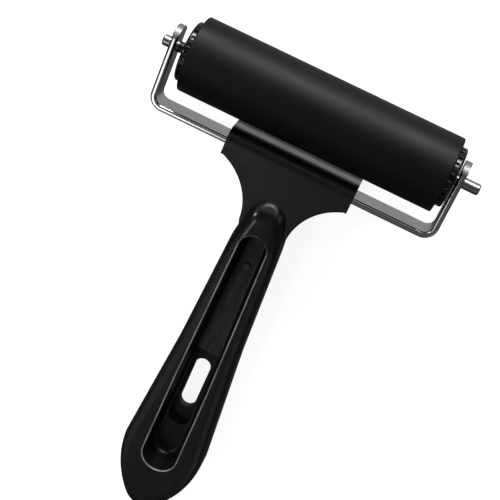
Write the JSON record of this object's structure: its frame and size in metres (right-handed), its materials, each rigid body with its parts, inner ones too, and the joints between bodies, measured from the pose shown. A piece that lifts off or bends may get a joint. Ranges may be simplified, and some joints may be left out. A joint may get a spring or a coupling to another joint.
{
  "type": "rubber brayer",
  "caption": "Hand brayer: a rubber-covered roller on a steel rod, held by a bent steel strap in a moulded plastic handle with a long pocket and a hanging slot.",
  "frame": {"origin": "middle of the line through the two rod holes of the strap", "axes": "+X along the roller, +Y from the handle to the roller, +Z out of the handle's front, the side with the long pocket"},
  "size_m": [0.1246, 0.2038, 0.0284],
  "materials": {
    "handle_plastic": "satin black, moulded",
    "strap_steel": "bright, lightly brushed, rounded edges",
    "rod_steel": "drawn bright, chamfered ends",
    "core_plastic": "extruded, hidden",
    "roller_rubber": "ground matte black rubber",
    "cap_plastic": "black, moulded"
  },
  "bodies": {
    "frame": {"handle": "handle_plastic", "frame_strap": "strap_steel"},
    "axle": {"axle_rod": "rod_steel"},
    "roller": {"core_tube": "core_plastic", "rubber_sleeve": "roller_rubber", "end_cap_left": "cap_plastic", "end_cap_right": "cap_plastic"}
  },
  "joints": [
    {"name": "axle_float", "type": "slide", "parent": "frame", "child": "axle", "axis": [1, 0, 0], "range_m": [-0.0037, 0.0007]},
    {"name": "roller_spin", "type": "hinge", "parent": "axle", "child": "roller", "pos_m": [0, 0, 0], "axis": [1, 0, 0], "continuous": true}
  ]
}
